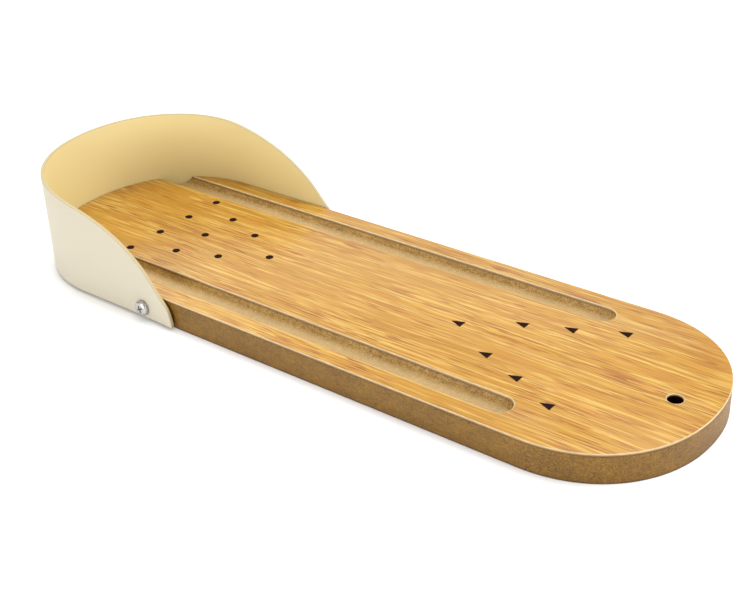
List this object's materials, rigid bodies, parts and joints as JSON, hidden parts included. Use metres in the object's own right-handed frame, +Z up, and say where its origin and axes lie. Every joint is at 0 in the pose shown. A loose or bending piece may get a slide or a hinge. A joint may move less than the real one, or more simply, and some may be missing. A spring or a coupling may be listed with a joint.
{
  "type": "tabletop bowling lane",
  "caption": "Miniature tabletop bowling lane: a round-ended board with two ball gutters, pin spots, aiming arrows and a bent plywood backstop.",
  "frame": {"origin": "middle of the whole object's footprint, on the surface that it stands on", "axes": "+X along the lane towards the bowler's end, the pins stand at the -X end, +Z up"},
  "size_m": [0.3066, 0.1084, 0.0442],
  "materials": {
    "mdf": "raw sawn and milled MDF, matt, fine fibre speckle",
    "grain_laminate": "printed golden wood grain laminate, satin",
    "backing": "dark brown balancing sheet, matt",
    "plywood": "pale thin plywood, bent, sanded, matt",
    "screw_steel": "zinc-plated steel, satin",
    "print_ink": "near-black brown printed ink, satin"
  },
  "bodies": {
    "root": {"lane_core": "mdf", "lane_face": "grain_laminate", "base_backing": "backing", "backstop_wall": "plywood", "backstop_screw_near": "screw_steel", "backstop_screw_far": "screw_steel", "pin_spot_01": "print_ink", "pin_spot_02": "print_ink", "pin_spot_03": "print_ink", "pin_spot_04": "print_ink", "pin_spot_05": "print_ink", "pin_spot_06": "print_ink", "pin_spot_07": "print_ink", "pin_spot_08": "print_ink", "pin_spot_09": "print_ink", "pin_spot_10": "print_ink", "lane_arrow_1": "print_ink", "lane_arrow_2": "print_ink", "lane_arrow_3": "print_ink", "lane_arrow_4": "print_ink", "lane_arrow_5": "print_ink", "lane_arrow_6": "print_ink", "lane_arrow_7": "print_ink"}
  },
  "joints": []
}
